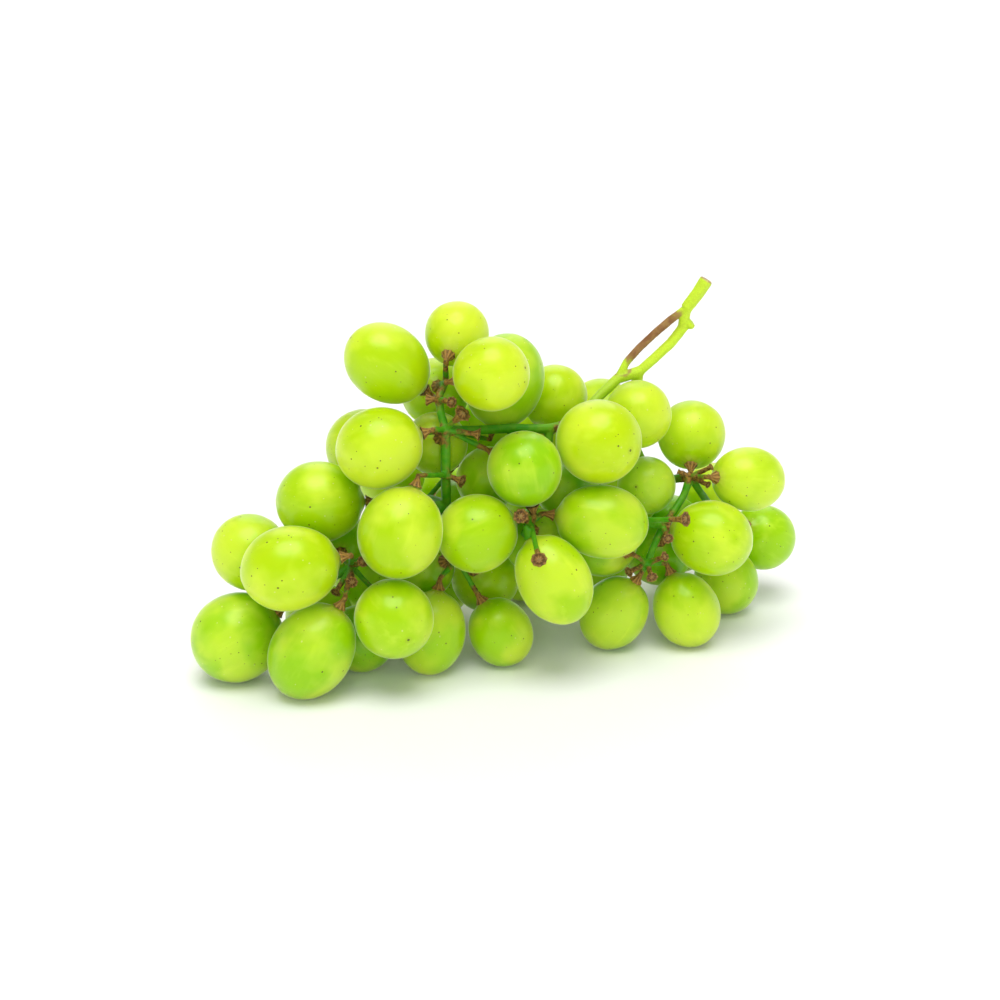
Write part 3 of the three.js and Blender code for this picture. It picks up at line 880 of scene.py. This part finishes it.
def bark_colours(tree, settings, mottle, place):
    """Cloudy masks and the mottled brown that the stem and its caps share: (cloud, patch, brown)."""
    cloud = group_field(tree, mottle, "Mask", Place=place, Patches_per_metre=CLOUDS, Edge=0.12)
    patch = group_field(tree, mottle, "Mask", Place=place, Patches_per_metre=PATCHES, Edge=0.15)
    brown = mixed(tree, patch * 0.8, settings.brown, DARK_BARK)
    return cloud, patch, brown


def finish_bark(tree, shader, colour, roughness, height):
    plug(tree, colour, shader.inputs["Base Color"])
    plug(tree, roughness, shader.inputs["Roughness"])
    plug(tree, bump_of(tree, height, 0.12 * MM), shader.inputs["Normal"])
    shader.inputs["Specular IOR Level"].default_value = 0.3
    shader.inputs["Subsurface Weight"].default_value = 0.2
    shader.inputs["Subsurface Radius"].default_value = (0.6, 1.0, 0.2)
    shader.inputs["Subsurface Scale"].default_value = 0.8 * MM


def stem_bark(settings, mottle):
    """Green bark, bright near the cut end and darker on the inner twigs as painted shade, that turns brown
    towards the caps, and red-brown along one arm.
    """
    material, tree, shader = new_material("stem_bark")
    place = node_with(tree, "ShaderNodeTexCoord", output="Object")
    brown, red, fresh_green_and_painted_light, cut = (attribute(tree, name) for name in ("brown", "red", "fresh_green_and_painted_light", "cut"))
    cloud, patch, bark = bark_colours(tree, settings, mottle, place)
    # Painted light and shade: bright green near the cut end, painted shade on the twigs inside the bunch.
    colour = mixed(tree, fresh_green_and_painted_light, settings.painted_shade_green, settings.bright)
    colour = mixed(tree, cloud * 0.15, colour, PALE_GREEN)
    freckles = group_field(tree, mottle, "Mask", Place=place, Patches_per_metre=FRECKLES, Edge=0.05)
    colour = mixed(tree, freckles * 0.12, colour, FRECKLE)
    worn = (brown + (cloud - 0.5) * 0.5).step(0.25, 0.75)
    colour = mixed(tree, worn, colour, bark)
    reddish = mixed(tree, cloud * 0.5, settings.red, RED_CLOUD)
    colour = mixed(tree, (red + (cloud - 0.5) * 0.3).step(0.15, 0.6), colour, reddish)
    colour = mixed(tree, cut, colour, mixed(tree, patch, CUT_PITH, CUT_WOOD))
    finish_bark(tree, shader, colour, cloud * 0.15 + worn * 0.15 + 0.40, patch * (worn * 0.7 + 0.3))
    return material


def cap_bark(settings, mottle):
    """Brown bark with pale ridges, which are partly a painted highlight, and dark flutes, greener where a
    cap sits on the green arm.
    """
    material, tree, shader = new_material("cap_bark")
    place = node_with(tree, "ShaderNodeTexCoord", output="Object")
    along, across, flute, fresh_green_and_painted_light = (attribute(tree, name) for name in ("along", "across", "flute", "fresh_green_and_painted_light"))
    cloud, patch, bark = bark_colours(tree, settings, mottle, place)
    # Pale ridges: partly the cap's own colour, partly a painted highlight on the raised flutes.
    ridge = (flute + (patch - 0.5) * 0.8).step(-0.2, 0.8) * along.step(0.1, 0.7)
    colour = mixed(tree, ridge * 0.6, bark, CAP_RIDGE_AND_HIGHLIGHT)
    end = along.step(CAP_END, 1.0)
    colour = mixed(tree, across.hill(CAP_RING, RING_WIDTH) * end * 0.75, colour, CAP_HOLLOW)
    colour = mixed(tree, across.step(0.42, 0.1) * end * 0.6, colour, CAP_STUB)
    colour = mixed(tree, fresh_green_and_painted_light * (patch * -0.4 + 0.9), colour, settings.bright)
    finish_bark(tree, shader, colour, cloud * 0.15 + 0.52, patch + ridge)
    return material


class GRAPES_OT_stem(bpy.types.Operator):
    """Grows the knobbly stem over the CAD stem, without its caps."""

    bl_idname = "grapes.stem"
    bl_label = "Grow stem"

    def execute(self, context):
        settings = context.scene.stem_settings
        coarse = merged_copy(STEM_NODE)
        caps = flat_ends(coarse, CAP_CORNERS)
        cut_middle, cut_axis, _ = max(flat_ends(coarse, CUT_CORNERS), key=lambda end: end[0].z)
        draw_in(coarse, caps)
        mesh = refined(coarse, settings.grain)
        points, links = edge_links(mesh)
        middles = [np.array(middle - axis * CAP_STRETCH) for middle, axis, _ in caps]
        starts = [int(np.linalg.norm(points - middle, axis=1).argmin()) for middle in middles]
        cut_start = int(np.linalg.norm(points - np.array(cut_middle), axis=1).argmin())
        from_cap = distances_from(starts, links)
        from_cut = distances_from([cut_start], links)
        below_cut = (np.array(cut_middle) - points) @ np.array(cut_axis)
        at_cut = (below_cut < CUT_DEPTH) & (from_cut < settings.brown_reach)
        arms = np.clip(near_line(points, GREEN_ARM, 2 * ARM_REACH) * 3, 0, 1)
        brown = np.clip(BROWN_START - from_cap / settings.brown_reach, 0, 1) * (1 - arms)
        add_layer(mesh, "brown", brown)
        add_layer(mesh, "red", red_share(points))
        # Painted light near the cut end, fading to painted shade on the inner twigs.
        add_layer(mesh, "fresh_green_and_painted_light", np.clip(PAINTED_LIGHT_START - from_cut / settings.painted_light_reach, 0, 1))
        add_layer(mesh, "cut", at_cut)
        bark = stem_bark(settings, shared_mottle())
        piece = grown("stem_bark", bark_tree(), {
            "Knobbliness": settings.knobbliness, "Growth": settings.growth, "Seed": BARK_SEED, "Bark": bark,
        }, start=mesh)
        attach(piece, "root")
        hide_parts(STEM_NODE)
        return {"FINISHED"}


class GRAPES_OT_caps(bpy.types.Operator):
    """Grows a fluted trumpet on the end of each pedicel."""

    bl_idname = "grapes.caps"
    bl_label = "Grow caps"

    def execute(self, context):
        settings = context.scene.stem_settings
        caps = flat_ends(merged_copy(STEM_NODE), CAP_CORNERS)
        mesh = bpy.data.meshes.new("cap_points")
        mesh.from_pydata([middle for middle, _, _ in caps], [], [])
        middles = np.array([middle for middle, _, _ in caps])
        add_layer(mesh, "axis", [axis for _, axis, _ in caps], "FLOAT_VECTOR")
        add_layer(mesh, "rim", [rim for _, _, rim in caps])
        # On the caps this is only the fresh green of those on the green arm, with no painted light.
        add_layer(mesh, "fresh_green_and_painted_light", near_line(middles, GREEN_ARM, 2 * ARM_REACH) > 0)
        piece = grown("stem_caps", cap_tree(), {
            "Sides": settings.cap_sides, "Flutes": settings.flutes, "Neck": CAP_NECK, "Length": CAP_LENGTH,
            "Roughness": settings.knobbliness, "Seed": CAP_SEED,
            "Bark": cap_bark(settings, shared_mottle()),
        }, start=mesh)
        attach(piece, "root")
        return {"FINISHED"}


# Stage

STAGE_SIDES = 96              # faces round the floor and its screen
PAPER = (0.93, 0.93, 0.93)
PAPER_FIBRE = (0.86, 0.86, 0.85)


def floor_paper():
    """Matt white paper."""
    material, tree, shader = new_material("white_paper")
    place = node_with(tree, "ShaderNodeTexCoord", output="Object")
    fibre = noise_of(tree, place, 300.0, detail=3.0)
    paper = mixed(tree, fibre * 0.03, PAPER, PAPER_FIBRE)
    plug(tree, paper, shader.inputs["Base Color"])
    shader.inputs["Roughness"].default_value = 0.6
    return material


def screen_cloth():
    """White cloth lit from behind."""
    material, _, shader = new_material("bright_screen")
    shader.inputs["Base Color"].default_value = (0, 0, 0, 1)
    shader.inputs["Emission Color"].default_value = (1, 1, 1, 1)
    shader.inputs["Emission Strength"].default_value = 1.0
    return material


def ring_points(radius, height):
    turns = [2 * math.pi * side / STAGE_SIDES for side in range(STAGE_SIDES)]
    return [(radius * math.cos(turn), radius * math.sin(turn), height) for turn in turns]


def add_backdrop(name, points, faces, material):
    mesh = bpy.data.meshes.new(name)
    mesh.from_pydata(points, [], faces)
    mesh.materials.append(material)
    backdrop = bpy.data.objects.new(name, mesh)
    bpy.context.scene.collection.objects.link(backdrop)
    return backdrop


def add_broad_light(name, height_angle, strength, size):
    """Broad soft light from far off, straight above the camera's side."""
    light = bpy.data.lights.new(name, "SUN")
    light.energy = strength
    light.angle = size
    lamp = bpy.data.objects.new(name, light)
    lamp.rotation_euler = (math.pi / 2 - height_angle, 0, 0)
    bpy.context.scene.collection.objects.link(lamp)
    return lamp


class GRAPES_OT_stage(bpy.types.Operator):
    """Sets up the floor, the camera and the light."""

    bl_idname = "grapes.stage"
    bl_label = "Set the stage"

    def execute(self, context):
        settings = context.scene.stage_settings
        scene = context.scene
        aim = Vector(settings.aim)

        low_ring = ring_points(settings.floor_radius, 0)
        high_ring = ring_points(settings.floor_radius, settings.screen_height)
        add_backdrop("floor", low_ring, [tuple(range(STAGE_SIDES))], floor_paper())
        sides = [(side, (side + 1) % STAGE_SIDES) for side in range(STAGE_SIDES)]
        walls = [(a, a + STAGE_SIDES, b + STAGE_SIDES, b) for a, b in sides]
        screen = add_backdrop("screen", low_ring + high_ring, walls, screen_cloth())
        screen.visible_shadow = False

        lens = bpy.data.cameras.new("camera")
        lens.lens = settings.lens
        camera = bpy.data.objects.new("camera", lens)
        angle = settings.height_angle
        camera.location = aim + Vector((0, -math.cos(angle), math.sin(angle))) * settings.distance
        camera.rotation_euler = (math.pi / 2 - angle, 0, 0)
        scene.collection.objects.link(camera)
        scene.camera = camera

        add_broad_light("key", settings.key_height, settings.key, settings.key_size)
        add_broad_light("back", settings.back_height, settings.back, settings.key_size)
        front = add_broad_light("front", settings.front_height, settings.front, settings.key_size)
        front.visible_glossy = False

        world = bpy.data.worlds.new("studio")
        world.use_nodes = True
        sky = world.node_tree.nodes["Background"]
        sky.inputs["Color"].default_value = (1, 1, 1, 1)
        sky.inputs["Strength"].default_value = settings.sky
        scene.world = world
        scene.view_settings.view_transform = "Standard"
        return {"FINISHED"}


class GRAPES_PT_panel(bpy.types.Panel):
    """Lists the steps and their settings."""

    bl_label = "Grapes"
    bl_space_type = "VIEW_3D"
    bl_region_type = "UI"
    bl_category = "Grapes"

    def draw(self, context):
        for label, operator, settings in (
                ("Berries", "grapes.berries", context.scene.berry_settings),
                ("Stem", "grapes.stem", context.scene.stem_settings),
                ("Caps", "grapes.caps", None),
                ("Stage", "grapes.stage", context.scene.stage_settings)):
            box = self.layout.box()
            box.label(text=label)
            for name in settings.__annotations__ if settings else ():
                box.prop(settings, name)
            box.operator(operator)


CLASSES = (BerrySettings, StemSettings, StageSettings,
           GRAPES_OT_berries, GRAPES_OT_stem, GRAPES_OT_caps, GRAPES_OT_stage, GRAPES_PT_panel)


def register():
    for item in CLASSES:
        bpy.utils.register_class(item)
    bpy.types.Scene.berry_settings = PointerProperty(type=BerrySettings)
    bpy.types.Scene.stem_settings = PointerProperty(type=StemSettings)
    bpy.types.Scene.stage_settings = PointerProperty(type=StageSettings)


def unregister():
    del bpy.types.Scene.stage_settings
    del bpy.types.Scene.stem_settings
    del bpy.types.Scene.berry_settings
    for item in reversed(CLASSES):
        bpy.utils.unregister_class(item)


def main():
    register()
    bpy.ops.grapes.stage()
    bpy.ops.grapes.berries()
    bpy.ops.grapes.stem()
    bpy.ops.grapes.caps()


if __name__ == "__main__":
    main()
